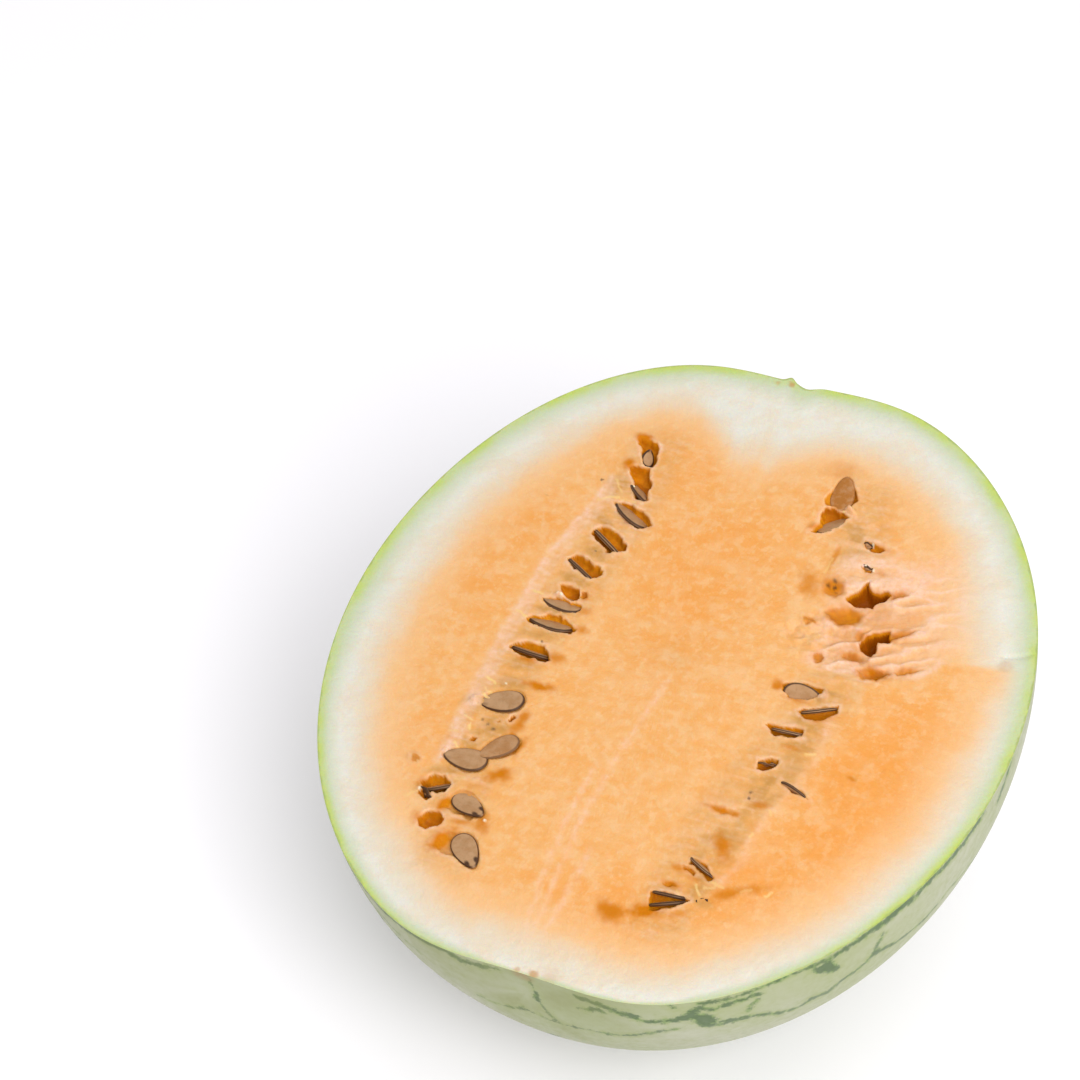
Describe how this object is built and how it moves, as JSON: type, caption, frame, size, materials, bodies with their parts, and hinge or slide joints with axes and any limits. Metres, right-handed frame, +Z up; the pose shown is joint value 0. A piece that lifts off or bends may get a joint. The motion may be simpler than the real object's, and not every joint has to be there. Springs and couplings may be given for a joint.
{
  "type": "halved watermelon",
  "caption": "Orange-fleshed watermelon cut in half from end to end, lying on its round side with the cut face up, seeds and their pockets showing.",
  "frame": {"origin": "on the surface the half rests on, under the middle of its box", "axes": "+Z up, +Y along the fruit's long axis towards the blossom end, +X to the right seen from the stem end"},
  "size_m": [0.1996, 0.2164, 0.1152],
  "materials": {
    "flesh": "moist cut fruit flesh, pale orange, softly translucent",
    "rind": "waxy pale green skin with a darker green net, over white rind",
    "seed": "wet tan seed coat with a dark rim"
  },
  "bodies": {
    "root": {"melon_half": "flesh"}
  },
  "joints": []
}
